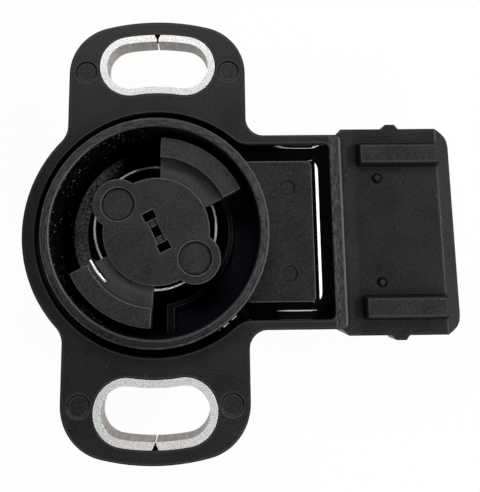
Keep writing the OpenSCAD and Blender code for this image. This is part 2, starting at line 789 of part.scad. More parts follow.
// Round wire swept along a path that starts level, with one ring of points across each path
// point. Each ring's side vector is the last one turned as little as possible
module wire_sweep(path, r, sides) {
    last = len(path) - 1;
    dirs = [for (i = [0 : last]) path_dir(path, i)];
    side_vectors = [for (i = 0, u = unit(cross(dirs[0], [0, 0, 1])); i <= last;
                         i = i + 1, u = i <= last ? unit(u - (u * dirs[i]) * dirs[i]) : u) u];
    rings = [for (i = [0 : last])
        let (u = side_vectors[i], v = cross(u, dirs[i]))
        for (k = [0 : sides - 1]) path[i] + r * (cos(360 * k / sides) * u + sin(360 * k / sides) * v)];
    sides_faces = [for (i = [0 : last - 1], k = [0 : sides - 1])
        let (a = i * sides, b = a + sides, n = (k + 1) % sides)
        [a + k, a + n, b + n, b + k]];
    polyhedron(rings, concat([[for (k = [sides - 1 : -1 : 0]) k]], sides_faces,
                             [[for (k = [0 : sides - 1]) last * sides + k]]), convexity = 8);
}

module return_spring() {
    color(steel) wire_sweep(spring_path, wire_d / 2, wire_sides);
}

// Trench in the lower drive arm in which the upper leg lies
module leg_trench() {
    run = leg_inner - leg_outer;
    width = wire_d + 2 * leg_gap;
    floor_z = leg_z - wire_d / 2 - leg_gap;
    translate(concat(leg_outer, floor_z))
        rotate([0, 0, atan2(run[1], run[0])])
            translate([-past, -width / 2, 0]) cube([norm(run) + past + leg_gap, width, wire_d + past / 2]);
}

// Pocket in the shelf for the lower leg
module spring_anchor_cut() {
    width = wire_d + 0.3;
    translate([coil_centre[0], coil_centre[1], anchor_z])
        rotate([0, 0, anchor_angle])
            translate([coil_r - 0.6, -width / 2, -width / 2]) cube([anchor_reach + 0.8, width, width]);
}

module retaining_clip() {
    color(steel)
    along_z(clip_z - clip_t, clip_z) difference() {
        circle(clip_outer_r);
        circle(groove_r + fit_gap);
        translate([0, -groove_r * 0.8]) square([clip_outer_r + past, groove_r * 1.6]);
    }
}

module wiper_holder() {
    color([0.3, 0.28, 0.24])
    along_z(holder_base_z, shaft_end_z) difference() {
        union() {
            circle(stub_r + 2.4);
            rotate([0, 0, holder_angle])
                translate([-outer_track_r, -holder_half_w]) square([2 * outer_track_r, 2 * holder_half_w]);
        }
        circle(stub_r + fit_gap);
    }
}

// Two sprung fingers on a common foot, for the holder's arm at angle a
module wiper(a) {
    top = holder_base_z;
    foot_half_w = holder_half_w - 0.6;
    foot_start = stake_r + 0.4;
    color("goldenrod")
    rotate([0, 0, a]) {
        translate([foot_start, -foot_half_w, top - wiper_t])
            cube([outer_track_r - foot_start, 2 * foot_half_w, wiper_t]);
        for (r = [inner_track_r, outer_track_r]) {
            u = sqrt(r * r - finger_reach * finger_reach);
            along_x(u - finger_w / 2, u + finger_w / 2)
                polygon([[finger_run, top], [foot_half_w, top], [finger_reach, tip_z + wiper_t],
                         [finger_reach + 0.6, tip_z + 2 * wiper_t], [finger_reach + 0.6, tip_z + wiper_t],
                         [finger_reach, tip_z], [finger_run, top - wiper_t]]);
        }
    }
}

module track_wiper() { wiper(holder_angle); }
module idle_wiper() { wiper(holder_angle + 180); }

module resistor_plate() {
    color([0.82, 0.8, 0.74])
    along_z(chamber_z, plate_top_z) chamber_outline(plate_clearance);
}

// Straight printed lead between two points
module lead(p, q) {
    w = track_w * 0.7;
    translate(p) rotate(atan2(q[1] - p[1], q[0] - p[0])) translate([0, -w / 2]) square([norm(q - p), w]);
}

module resistor_tracks() {
    half = track_w / 2;
    track_start = 44;
    track_end = 172;
    idle_angles = [-138, -18];
    return_r = outer_track_r + 1.9;
    return_start = 33;
    common_exit = -8;
    pad_x = leg_x;
    color([0.12, 0.13, 0.12])
    along_z(plate_top_z, track_top_z) {
        ring_sector(outer_track_r - half, outer_track_r + half, track_start, track_end);
        ring_sector(inner_track_r - half, inner_track_r + half, idle_angles[0], track_end);
        ring_sector(outer_track_r - half, outer_track_r + half, idle_angles[0], idle_angles[1]);
        ring_sector(return_r - half / 2, return_r + half / 2, return_start, track_end);
        lead(polar(outer_track_r, track_end - 2), polar(return_r, track_end - 2));
        lead(polar(return_r, return_start + 2), [pad_x, pad_y[0]]);
        lead(polar(outer_track_r, track_start + 2), [pad_x, pad_y[1]]);
        lead(polar(inner_track_r, common_exit), [pad_x, pad_y[2]]);
        lead(polar(outer_track_r, idle_angles[1] - 6), [pad_x, pad_y[3]]);
    }
}

// Straight part of a terminal, as a bar of its own section
module terminal_bar(x0, x1) {
    translate([x0, -terminal_w / 2, blade_z - terminal_t / 2]) cube([x1 - x0, terminal_w, terminal_t]);
}

// Blade in the socket that bends down to the resistor plate
module terminal(i) {
    bend_x = leg_x + terminal_t / 2 + bend_r;
    bend_z = blade_z - terminal_t / 2 - bend_r;
    foot_z = track_top_z;
    taper_x = blade_tip_x - blade_taper;
    color(steel)
    translate([0, pad_y[i], 0])
    intersection() {
        along_y(-terminal_w / 2, terminal_w / 2) {
            translate([bend_x, blade_z - terminal_t / 2]) square([taper_x - bend_x, terminal_t]);
            polygon([[taper_x, blade_z - terminal_t / 2], [blade_tip_x, blade_z - blade_tip_t / 2],
                     [blade_tip_x, blade_z + blade_tip_t / 2], [taper_x, blade_z + terminal_t / 2]]);
            translate([leg_x - terminal_t / 2, foot_z]) square([terminal_t, bend_z - foot_z]);
            translate([bend_x, bend_z]) ring_sector(bend_r, bend_r + terminal_t, 90, 180);
        }
        along_z(foot_z, blade_z + terminal_t)
            polygon([[leg_x - past, -terminal_w / 2], [taper_x, -terminal_w / 2],
                     [blade_tip_x, -terminal_w / 4], [blade_tip_x, terminal_w / 4],
                     [taper_x, terminal_w / 2], [leg_x - past, terminal_w / 2]]);
    }
}

module terminal_1() { terminal(0); }
module terminal_2() { terminal(1); }
module terminal_3() { terminal(2); }
module terminal_4() { terminal(3); }

// Solder round the foot of a terminal
module solder_joint(i) {
    dome_r = 1.5;
    dome_drop = 0.6;
    color([0.7, 0.7, 0.72])
    translate([leg_x, pad_y[i], track_top_z]) difference() {
        intersection() {
            translate([0, 0, -dome_drop]) sphere(dome_r);
            translate([-dome_r, -dome_r, 0]) cube(2 * dome_r);
        }
        translate([-terminal_t / 2, -terminal_w / 2, -past]) cube([terminal_t, terminal_w, 2 * dome_r]);
    }
}

module solder_joint_1() { solder_joint(0); }
module solder_joint_2() { solder_joint(1); }
module solder_joint_3() { solder_joint(2); }
module solder_joint_4() { solder_joint(3); }

housing();
top_slot_bush();
bottom_slot_bush();
cover();
sealant();
rotor();
return_spring();
retaining_clip();
wiper_holder();
track_wiper();
idle_wiper();
resistor_plate();
resistor_tracks();
terminal_1();
terminal_2();
terminal_3();
terminal_4();
solder_joint_1();
solder_joint_2();
solder_joint_3();
solder_joint_4();
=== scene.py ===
"""Throttle position sensor: finishes, rounded edges, resin, spring, light and camera."""

import json
import math

import bmesh
import bpy
import numpy as np
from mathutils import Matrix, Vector


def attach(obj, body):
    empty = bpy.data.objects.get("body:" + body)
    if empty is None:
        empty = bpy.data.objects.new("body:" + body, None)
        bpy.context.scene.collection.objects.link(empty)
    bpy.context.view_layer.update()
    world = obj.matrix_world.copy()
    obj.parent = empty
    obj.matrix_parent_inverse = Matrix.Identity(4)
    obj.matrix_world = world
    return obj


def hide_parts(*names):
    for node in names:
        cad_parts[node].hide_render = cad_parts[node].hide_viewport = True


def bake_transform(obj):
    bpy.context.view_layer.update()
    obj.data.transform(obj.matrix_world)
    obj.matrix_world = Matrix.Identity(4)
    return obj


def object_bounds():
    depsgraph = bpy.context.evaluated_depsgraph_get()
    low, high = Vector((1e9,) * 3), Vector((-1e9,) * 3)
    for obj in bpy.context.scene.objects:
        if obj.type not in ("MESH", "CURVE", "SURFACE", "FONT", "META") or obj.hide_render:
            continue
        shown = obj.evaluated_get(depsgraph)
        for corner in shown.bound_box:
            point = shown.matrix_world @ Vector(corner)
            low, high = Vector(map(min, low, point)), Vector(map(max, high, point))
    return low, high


MM = 0.001

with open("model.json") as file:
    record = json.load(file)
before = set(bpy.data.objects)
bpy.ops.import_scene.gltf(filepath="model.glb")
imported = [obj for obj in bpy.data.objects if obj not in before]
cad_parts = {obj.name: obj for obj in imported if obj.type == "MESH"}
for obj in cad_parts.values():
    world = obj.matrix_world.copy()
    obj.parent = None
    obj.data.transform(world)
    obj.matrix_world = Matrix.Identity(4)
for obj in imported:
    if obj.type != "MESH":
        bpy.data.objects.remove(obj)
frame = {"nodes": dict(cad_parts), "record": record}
NODES = frame["nodes"]
cad_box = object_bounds()

# Camera, as solved from the outlines of the ears, collar, arm and connector: millimetres and degrees
CAMERA_LENS = 50.749
CAMERA_SHIFT = (0.0508, -0.2256)
CAMERA_TURN = (10.817, -0.699, -0.582)
CAMERA_PLACE = (6.36, -4.632, 89.677)

# Lamps: place and size in metres, and power in watts
LAMPS = (
    ("right_box", (0.42, 0.02, 0.36), (0.45, 0.05), 2.2),
    ("back_box", (-0.06, 0.36, 0.42), (0.35, 0.12), 1.6),
    ("front_box", (0.10, -0.38, 0.40), (0.16, 0.08), 0.5),
    ("corner_box", (0.23, -0.33, 0.36), (0.2, 0.06), 0.5),
)

# Ejector marks in the plastic, in millimetres
EAR_MARKS = [(x, y) for x in (-9.45, 9.45) for y in (-21.2, 21.2)]
EAR_MARK_R = 1.36
TAB_MARKS = [(17.0, -5.5), (17.0, 5.5)]
TAB_MARK_R = 1.06
MARK_LINE = 0.18
# Near black of the painted shade on the ejector marks' rings
MARK_SHADE_BLACK = (0.0005, 0.0005, 0.0005)
GRAIN_MM = 0.17

# Where the looks change on the housing and the cover, in millimetres, with fades as pairs
MARK_HIGHLIGHT_LOW_Y = (-21.1, -21.6)
MARK_HIGHLIGHT_HIGH_Y = 20.2
STRIP_X = ((22.5, 22.7), (24.4, 24.5))
PALE_LINE_X = 23.98
CONNECTOR_X = (25.6, 26.2)
RAIL_Z = (0.0, 0.3)
RIM_Z = (2.6, 2.95)
RIM_INNER_R = 13.22
RIM_OUTER_R = 14.2
RIM_GROOVE_R = 13.98
CUP_R = (13.6, 13.4)
CUP_Z = (2.8, 2.6)
SHELF_R = (12.9, 12.6)
SHELF_X = (-4.0, -8.5)
SHELF_Z = ((-5.9, -5.4), (-4.8, -4.4))
ARM_STEP_Z = ((-0.8, -0.7), (-0.5, -0.2))
ARM_TOP_Z = (0.8, 1.0)
WIRE_LEG_Z = (-0.60, -0.50)
WIRE_TOP_TURN_Z = ((-4.15, -3.7), (-2.9, -2.7))

# Channel that holds the resin, between the cover and the well, in millimetres
COLLAR_R = 14.0
WELL_R = 15.55
TAB_END_X = 20.3
TAB_HALF_W = 9.05
WELL_END_X = 22.6
WELL_HALF_W = 11.2
SEAL_TOP = -1.1
SEAL_BASE = -2.4
# Slope, width and softness of the resin's rise to each wall
END_RISE = (0.36, 0.98, 0.05)
END_BENCH = (0.36, 0.4, 0.04)
TOP_RISE = (0.66, 0.5, 0.07)
LOW_RISE = (0.56, 1.2, 0.1)
WALL_RISE = (0.3, 0.2, 0.05)
COLLAR_RISE = (0.47, 0.8, 0.07)
# Places where the resin shines: length of each arm of the channel, and a row of beads by angle
LOW_SHINE_X = ((15.2, 16.8), (20.1, 20.6))
HIGH_SHINE_X = (15.5, 19.0)
BEAD_ANGLES = ((-1.01, -0.98), (-0.72, -0.70))
BEAD_START = 0.838
BEAD_RATE = 69.0
# Height, direction in radians and spread of the resin's swelling beside the collar
SWELL = (0.5, -0.85, 0.3)
# Height and reach of the lip that the resin draws up at the cover
LIP = (0.03, 0.08)
# Mesh of the resin: degrees between spokes, and points along each
RESIN_STEP = 0.6
RESIN_POINTS = 61

# Spring, in millimetres and degrees
COIL_CENTRE = (-0.4, 0.65)
COIL_R = 8.1
COIL_START = 235
COIL_TURNS = 3.5
COIL_PITCH = 0.95
COIL_TOP = 3.0
COIL_POINTS = 211
WIRE_D = 0.42
WIRE_SIDES = 24
LEG_Z = -0.68
# Distance from the coil, angle about its centre and depth below the leg, along leg and hook
LEG_STEPS = ((1.14, 228.9, 0), (1.07, 218.0, 0), (1.01, 209.3, 0), (1.02, 207.95, 0.03),
             (1.05, 206.6, 0.2), (1.1, 206.1, 0.6), (1.1, 206.1, 1.2), (1.05, 206.7, 1.75),
             (0.97, 207.9, 2.0), (0.75, 209.5, 2.12), (0.5, 212.5, 2.17))
ANCHOR_STEPS = (0.12, 0.5, 1.2, 2.6)

# Floor: size and gap under the sensor in metres, and its share of plain white
FLOOR_SIZE = 3
FLOOR_GAP = 0.00002
FLOOR_WHITE = 0.96


def scaled(colour, factor):
    """A colour made darker or lighter."""
    return tuple(c * factor for c in colour)


class Shader:
    """A material's node tree, with short calls for the nodes that are used here."""

    def __init__(self, name, colour, roughness, metallic=0.0, specular=0.5, edge_mm=0.0):
        self.material = bpy.data.materials.new(name)
        self.material.use_nodes = True
        self.material.diffuse_color = (*colour, 1)
        self.nodes = self.material.node_tree.nodes
        self.links = self.material.node_tree.links
        self.surface = self.nodes["Principled BSDF"]
        self.surface.inputs["Base Color"].default_value = (*colour, 1)
        self.surface.inputs["Roughness"].default_value = roughness
        self.surface.inputs["Metallic"].default_value = metallic
        self.surface.inputs["Specular IOR Level"].default_value = specular
        self.place = self.nodes.new("ShaderNodeTexCoord").outputs["Object"]
        self.soft = self.bevel(edge_mm) if edge_mm else None

    def feed(self, socket, value):
        """Link a socket to a node's output, or set it to a constant."""
        if isinstance(value, bpy.types.NodeSocket):
            self.links.new(value, socket)
        elif value is not None:
            socket.default_value = value

    def colour(self, value):
        """Set the base colour."""
        self.feed(self.surface.inputs["Base Color"], value)

    def rough(self, value):
        """Set the roughness."""
        self.feed(self.surface.inputs["Roughness"], value)

    def shine(self, value):
        """Set the strength of the reflection."""
        self.feed(self.surface.inputs["Specular IOR Level"], value)

    def bump(self, heights):
        """Relief from (value, depth in millimetres) pairs, over the rounded edges."""
        last = self.soft
        for value, depth in heights:
            n = self.nodes.new("ShaderNodeBump")
            n.inputs["Distance"].default_value = depth * MM
            n.inputs["Strength"].default_value = 1.0
            self.feed(n.inputs["Height"], value)
            if last is not None:
                self.feed(n.inputs["Normal"], last)
            last = n.outputs[0]
        self.feed(self.surface.inputs["Normal"], last)

    def math(self, operation, a, b=None):
        """One step of arithmetic on numbers or outputs."""
        n = self.nodes.new("ShaderNodeMath")
        n.operation = operation
        self.feed(n.inputs[0], a)
        self.feed(n.inputs[1], b)
        return n.outputs[0]

    def chain(self, operation, values):
        """The same step over a list of values."""
        total = values[0]
        for value in values[1:]:
            total = self.math(operation, total, value)
        return total

    def times(self, *values):
        """Product of the values."""
        return self.chain("MULTIPLY", values)

    def plus(self, *values):
        """Sum of the values."""
        return self.chain("ADD", values)

    def most(self, *values):
        """Largest of the values."""
        return self.chain("MAXIMUM", values)

    def remainder(self, value):
        """What the value leaves of 1."""
        return self.math("SUBTRACT", 1.0, value)

    def ramp(self, value, low, high, out_low=0.0, out_high=1.0):
        """The value's run from low to high, spread over the outputs and held at both ends."""
        n = self.nodes.new("ShaderNodeMapRange")
        self.feed(n.inputs["Value"], value)
        for name, v in zip(("From Min", "From Max", "To Min", "To Max"), (low, high, out_low, out_high)):
            n.inputs[name].default_value = v
        return n.outputs[0]

    def span(self, value, start, end):
        """1 between two limits, with a fade in over the first pair and out over the second."""
        return self.times(self.ramp(value, *start), self.ramp(value, end[1], end[0]))

    def near(self, value, target, reach, core):
        """1 within the core of a target, fading to 0 at the reach."""
        return self.ramp(self.math("ABSOLUTE", self.plus(value, -target)), reach, core)

    def mix(self, factor, a, b):
        """Colour b over colour a."""
        n = self.nodes.new("ShaderNodeMix")
        n.data_type = "RGBA"
        self.feed(n.inputs["Factor"], factor)
        self.feed(n.inputs["A"], (*a, 1) if isinstance(a, tuple) else a)
        self.feed(n.inputs["B"], (*b, 1) if isinstance(b, tuple) else b)
        return n.outputs["Result"]

    def axis(self, vector, name):
        """One part of a vector."""
        n = self.nodes.new("ShaderNodeSeparateXYZ")
        self.feed(n.inputs[0], vector)
        return n.outputs[name]

    def mm(self, name):
        """Place along one axis, in millimetres."""
        return self.times(self.axis(self.place, name), 1 / MM)

    def radius(self, centre=(0.0, 0.0)):
        """Distance in plan from a point, in millimetres."""
        x = self.plus(self.axis(self.place, "X"), -centre[0] * MM)
        y = self.plus(self.axis(self.place, "Y"), -centre[1] * MM)
        squares = self.plus(self.times(x, x), self.times(y, y))
        return self.times(self.math("SQRT", squares), 1 / MM)

    def angle(self):
        """Direction in plan from the rotor axis, in radians."""
        return self.math("ARCTAN2", self.axis(self.place, "Y"), self.axis(self.place, "X"))

    def polar(self):
        """Place as distance from the rotor axis and direction, on which noise runs in turned marks."""
        n = self.nodes.new("ShaderNodeCombineXYZ")
        self.feed(n.inputs["X"], self.times(self.radius(), MM))
        self.feed(n.inputs["Y"], self.times(self.angle(), MM))
        return n.outputs[0]

    def rings(self, centres, radius, width):
        """1 on thin circles about the centres, fading over their width."""
        return self.most(0.0, *(self.near(self.radius(c), radius, width, width * 0.25) for c in centres))

    def stretch(self, factors):
        """Place scaled along each axis, for noise that runs one way."""
        n = self.nodes.new("ShaderNodeMapping")
        self.feed(n.inputs["Vector"], self.place)
        n.inputs["Scale"].default_value = factors
        return n.outputs[0]

    def noise(self, size_mm, detail=2.0, roughness=0.5, place=None):
        """Noise from 0 to 1, with features of about that size."""
        n = self.nodes.new("ShaderNodeTexNoise")
        self.feed(n.inputs["Vector"], place or self.place)
        n.inputs["Scale"].default_value = 1 / (size_mm * MM)
        n.inputs["Detail"].default_value = detail
        n.inputs["Roughness"].default_value = roughness
        return n.outputs["Fac"]

    def cells(self, size_mm):
        """Distance to the nearest of the random points that lie about that far apart."""
        n = self.nodes.new("ShaderNodeTexVoronoi")
        self.feed(n.inputs["Vector"], self.place)
        n.inputs["Scale"].default_value = 1 / (size_mm * MM)
        return n.outputs["Distance"]

    def normal(self):
        """The face's own direction."""
        return self.nodes.new("ShaderNodeNewGeometry").outputs["Normal"]

    def bevel(self, reach_mm):
        """The face's direction as if its edges were rounded."""
        n = self.nodes.new("ShaderNodeBevel")
        n.samples = 8
        n.inputs["Radius"].default_value = reach_mm * MM
        return n.outputs[0]

    def edges(self, reach_mm, start=0.004, end=0.06):
        """1 at edges, and 0 on flat ground."""
        dot = self.nodes.new("ShaderNodeVectorMath")
        dot.operation = "DOT_PRODUCT"
        self.feed(dot.inputs[0], self.bevel(reach_mm))
        self.feed(dot.inputs[1], self.normal())
        return self.ramp(dot.outputs["Value"], 1 - start, 1 - end)

    def open_sky(self, reach_mm):
        """Share of the sky that nothing within reach hides."""
        n = self.nodes.new("ShaderNodeAmbientOcclusion")
        n.samples = 8
        n.inputs["Distance"].default_value = reach_mm * MM
        return n.outputs["AO"]


def moulded(name, colour, wear_and_painted_light, roughness, specular, grain_depth, speckle, edge_mm,
            painted_shade_reach_mm=0.6, wear_mm=0.28):
    """Black moulded plastic: fine grain, soft blotches, pale edges that are partly wear and partly
    painted highlight, a few specks, and painted shade in hollows.
    """
    s = Shader(name, colour, roughness, specular=specular, edge_mm=edge_mm)
    blotch = s.noise(4.0, 3.0)
    grain = s.noise(GRAIN_MM, 2.0, 0.7)
    # Painted shade: colour and reflection are darkened where nearby surfaces hide the sky
    sky = s.open_sky(painted_shade_reach_mm)
    free_of_painted_shade = s.ramp(sky, 0.5, 0.96)
    # Pale edges: partly wear, partly painted highlight
    s.wear = s.times(s.edges(wear_mm), s.ramp(s.noise(0.9, 4.0, 0.7), 0.2, 0.55, 0.4, 1.0),
                     s.ramp(sky, 0.7, 0.9))
    specks = s.times(s.ramp(s.cells(speckle), 0.09, 0.05), s.ramp(s.noise(2.2, 1.0), 0.56, 0.62))
    tone = s.mix(s.ramp(grain, 0.3, 0.7), scaled(colour, 0.4), scaled(colour, 2.1))
    tone = s.mix(s.ramp(blotch, 0.35, 0.7, 0.0, 0.4), tone, scaled(colour, 1.8))
    tone = s.mix(s.times(s.wear, 0.85), tone, wear_and_painted_light)
    tone = s.mix(s.times(specks, 0.9), tone, wear_and_painted_light)
    s.tone = s.mix(free_of_painted_shade, scaled(colour, 0.15), tone)
    s.colour(s.tone)
    s.gloss = s.times(free_of_painted_shade, s.ramp(grain, 0.3, 0.7, specular * 0.5, specular * 1.5))
    s.shine(s.gloss)
    s.rough(s.plus(s.ramp(blotch, 0.3, 0.7, roughness - 0.05, roughness + 0.06),
                   s.ramp(grain, 0.3, 0.7, -0.04, 0.04)))
    s.bump([(grain, grain_depth), (s.noise(0.9, 3.0), grain_depth * 0.8)])
    return s


def housing_finish():
    """Ejector marks on the ears drawn with painted shade and a painted highlight, painted highlights and
    shade at the edges, and smears of resin with a painted highlight on the strip between well and
    connector.
    """
    s = moulded("housing_plastic", (0.0056, 0.0062, 0.0071), (0.075, 0.077, 0.08), roughness=0.46,
                specular=0.3, grain_depth=0.007, speckle=1.5, edge_mm=0.3, wear_mm=0.42)
    x, y, height = s.mm("X"), s.mm("Y"), s.mm("Z")

    # Edges: a painted highlight beside them and painted shade on their tips, where they also reflect
    # less
    beside, edge_tip_shade = s.edges(0.5, 0.002, 0.012), s.edges(0.5, 0.03, 0.08)
    tone = s.mix(s.times(beside, 0.7), s.tone, (0.06, 0.062, 0.065))
    tone = s.mix(s.times(edge_tip_shade, 0.9), tone, (0.0015, 0.0015, 0.0015))

    # Ejector marks: painted shade on each ring, and a painted highlight on the lower side of each ring
    marks = s.rings(EAR_MARKS, EAR_MARK_R, MARK_LINE)
    lower = s.plus(s.ramp(y, *MARK_HIGHLIGHT_LOW_Y), s.times(s.near(y, MARK_HIGHLIGHT_HIGH_Y, 0.5, 0.1), 0.6))
    tone = s.mix(s.times(marks, 0.85), tone, s.mix(lower, MARK_SHADE_BLACK, (0.03, 0.031, 0.033)))

    # Strip beside the connector: smeared, with a painted highlight as a pale line at its far edge
    upper = s.ramp(height, -0.5, -0.2)
    strip = s.times(s.span(x, *STRIP_X), upper, s.ramp(x, 23.6, 23.0, 0.6, 1.0))
    smear = s.ramp(s.noise(0.3, 4.0, 0.75, place=s.stretch((1.0, 0.3, 1.0))), 0.42, 0.6)
    tone = s.mix(s.times(strip, smear, 0.9), tone, (0.065, 0.067, 0.07))
    line_highlight = s.times(s.near(x, PALE_LINE_X, 0.16, 0.08), upper)
    tone = s.mix(s.times(line_highlight, 0.85), tone, (0.11, 0.113, 0.117))

    # Connector: darker and duller, apart from its rails
    block = s.times(s.ramp(x, *CONNECTOR_X), s.ramp(height, *RAIL_Z, 1.0, 0.0), 0.45)
    s.colour(s.mix(block, tone, (0.001, 0.001, 0.001)))
    s.shine(s.times(s.gloss, s.ramp(edge_tip_shade, 0.0, 1.0, 1.0, 0.15), s.ramp(block, 0.0, 0.45, 1.0, 0.85)))
    return s.material


def cover_finish():
    """Turned scuffs and painted highlights on the collar's rim, ejector marks drawn with painted shade
    on the tab, and a smooth cup darkened with painted shade, with dust and a painted sheen.
    """
    s = moulded("cover_plastic", (0.0056, 0.0060, 0.0067), (0.08, 0.08, 0.083), roughness=0.45,
                specular=0.3, grain_depth=0.007, speckle=1.1, edge_mm=0.16)
    x, y, height, radius = s.mm("X"), s.mm("Y"), s.mm("Z"), s.radius()

    # Rim: turned marks with scuffs that painted light makes stronger on the right, pale inner and outer
    # edges that are painted highlight with some wear, and painted shade in a groove
    rim = s.ramp(height, *RIM_Z)
    right = s.ramp(x, 1.0, 12.0)
    turned = s.ramp(s.noise(0.11, 3.0, 0.75, place=s.polar()), 0.44, 0.58)
    wear_and_painted_light = s.plus(s.ramp(y, -12.5, -5.0, 0.0, 0.6), s.times(right, 0.4))
    edge = s.times(s.rings([(0, 0)], RIM_INNER_R, 0.16), s.ramp(x, -5.0, -10.0, 0.3, 1.0))
    outer = s.times(s.rings([(0, 0)], RIM_OUTER_R, 0.2), s.ramp(s.noise(1.2, 4.0, 0.7), 0.4, 0.62))
    outer = s.most(outer, s.times(s.rings([(0, 0)], RIM_OUTER_R, 0.1), right))
    scuff_and_highlight = s.most(s.times(turned, wear_and_painted_light), edge, outer)
    tone = s.mix(s.times(rim, scuff_and_highlight, 0.75), s.tone, (0.08, 0.08, 0.082))
    groove_shade = s.times(s.rings([(0, 0)], RIM_GROOVE_R, 0.09), rim, 0.6)
    tone = s.mix(groove_shade, tone, (0.002, 0.002, 0.002))
    # Ejector marks on the tab: painted shade on each ring
    tone = s.mix(s.times(s.rings(TAB_MARKS, TAB_MARK_R, MARK_LINE), 0.85), tone, MARK_SHADE_BLACK)

    # Inside of the cup: painted shade with less reflection, a dull shelf and dust on the left, and a
    # faint painted sheen on the right
    cup = s.times(s.ramp(radius, *CUP_R), s.ramp(height, *CUP_Z))
    shelf = s.times(s.span(height, *SHELF_Z), s.ramp(radius, *SHELF_R), s.ramp(x, *SHELF_X))
    dull = s.times(shelf, s.ramp(s.noise(0.35, 4.0, 0.75), 0.35, 0.62))
    dust = s.times(s.ramp(s.cells(0.6), 0.2, 0.11), s.ramp(s.noise(1.6, 2.0), 0.48, 0.54))
    inside = s.mix(s.ramp(x, -3.0, 4.0), (0.0014, 0.0018, 0.0022), (0.006, 0.0076, 0.0100))
    inside = s.mix(s.times(dull, 0.8), inside, (0.2, 0.21, 0.22))
    inside = s.mix(s.times(s.wear, 0.8), inside, (0.05, 0.051, 0.048))
    inside = s.mix(s.times(dust, s.ramp(x, 0.0, -5.0, 0.05, 1.0)), inside, (0.4, 0.4, 0.4))
    s.colour(s.mix(cup, tone, inside))
    s.shine(s.times(s.gloss, s.ramp(cup, 0, 1, 1.0, 0.1)))
    return s.material


def rotor_finish():
    """Greyer plastic, with painted light that makes the low step of the arms paler and their raised part
    a little.
    """
    s = moulded("rotor_plastic", (0.0100, 0.0105, 0.0113), (0.09, 0.09, 0.093), roughness=0.5,
                specular=0.32, grain_depth=0.008, speckle=0.9, edge_mm=0.24, painted_shade_reach_mm=0.4)
    height = s.mm("Z")
    step = s.span(height, *ARM_STEP_Z)
    # Painted light: the low step of the arms is made paler, and their raised part a little
    painted_arm_light = s.most(s.times(step, 0.8), s.ramp(height, *ARM_TOP_Z, 0.0, 0.15))
    s.colour(s.mix(painted_arm_light, s.tone, (0.034, 0.035, 0.037)))
    return s.material


def bush_finish():
    """Bright sheared edge on top, brushed and browner on the walls."""
    s = Shader("bush_metal", (0.6, 0.6, 0.58), 0.35, metallic=0.45, edge_mm=0.06)
    face = s.ramp(s.math("ABSOLUTE", s.axis(s.normal(), "Z")), 0.6, 0.9)
    fine = s.noise(0.12, 3.0, 0.7)
    streaks = s.noise(0.35, 3.0, 0.6, place=s.stretch((1.0, 1.0, 0.12)))
    wall = s.mix(s.ramp(streaks, 0.3, 0.7), (0.2, 0.18, 0.165), (0.42, 0.39, 0.36))
    top = s.mix(s.ramp(fine, 0.36, 0.56), (0.42, 0.43, 0.43), (0.95, 0.96, 0.96))
    s.colour(s.mix(face, wall, top))
    s.rough(s.plus(s.ramp(face, 0, 1, 0.42, 0.34), s.ramp(fine, 0.3, 0.7, -0.06, 0.1)))
    s.bump([(fine, 0.012), (streaks, 0.006)])
    return s.material


def wire_finish():
    """Painted light makes the leg and the upper side of the top turn bright, and painted shade makes the
    rest dark.
    """
    s = Shader("spring_steel", (0.95, 0.95, 0.94), 0.35, metallic=0.35, specular=0.9)
    height = s.mm("Z")
    leg = s.ramp(height, *WIRE_LEG_Z)
    top_turn = s.span(height, *WIRE_TOP_TURN_Z)
    # Painted highlight on the leg and on the top turn's upper side, painted shade on the lower turns and
    # the hook
    bright = s.most(leg, s.times(top_turn, s.ramp(s.axis(s.normal(), "Z"), 0.6, 0.85)))
    s.colour(s.mix(bright, (0.03, 0.03, 0.03), (0.98, 0.98, 0.97)))
    s.rough(s.ramp(s.noise(0.3, 3.0), 0.3, 0.7, 0.3, 0.4))
    return s.material


def sealant_finish():
    """Wet black resin that shines in a few places, with a dull skin beside the left wall."""
    wet, skin_tone = (0.0009, 0.0010, 0.0012), (0.009, 0.0095, 0.0105)
    s = Shader("sealant", wet, 0.05, specular=0.5)
    s.bump([(s.noise(3.5, 1.0), 0.01), (s.noise(1.0, 1.0), 0.006)])
    x, y, angle = s.mm("X"), s.mm("Y"), s.angle()
    skin = s.times(s.ramp(s.radius(), 15.05, 15.15), s.ramp(x, -7.0, -11.0))
    s.colour(s.mix(skin, wet, skin_tone))
    s.rough(s.most(s.ramp(s.noise(0.8, 2.0), 0.4, 0.8, 0.03, 0.07), s.times(skin, 0.45)))

    # Lower and upper arm of the channel, beside the tab
    along = s.ramp(x, 11.5, 12.5)
    low = s.times(s.ramp(y, -9.2, -9.5), along, s.remainder(s.span(x, *LOW_SHINE_X)))
    high = s.times(s.ramp(y, 9.2, 9.5), along, s.remainder(s.ramp(x, *HIGH_SHINE_X, 0.15, 1.0)))
    # Ring round the collar, which shines in a short row of beads
    beads = s.ramp(s.math("COSINE", s.times(s.plus(angle, BEAD_START), BEAD_RATE)), -0.5, 0.0)
    beads = s.times(beads, s.span(angle, *BEAD_ANGLES))
    ring = s.times(s.ramp(x, 12.4, 12.0), s.remainder(beads))
    s.shine(s.ramp(s.plus(ring, low, high), 0.0, 1.0, 0.5, 0.0))
    return s.material


def plain_finish(name, colour, roughness, metallic, grain_mm, depth):
    """A simple finish with a little grain, for the pieces inside."""
    s = Shader(name, colour, roughness, metallic=metallic)
    grain = s.noise(grain_mm, 3.0)
    s.colour(s.mix(s.ramp(grain, 0.3, 0.7), scaled(colour, 0.8), colour))
    s.rough(s.ramp(grain, 0.3, 0.7, roughness - 0.06, roughness + 0.08))
    s.bump([(grain, depth)])
    return s.material


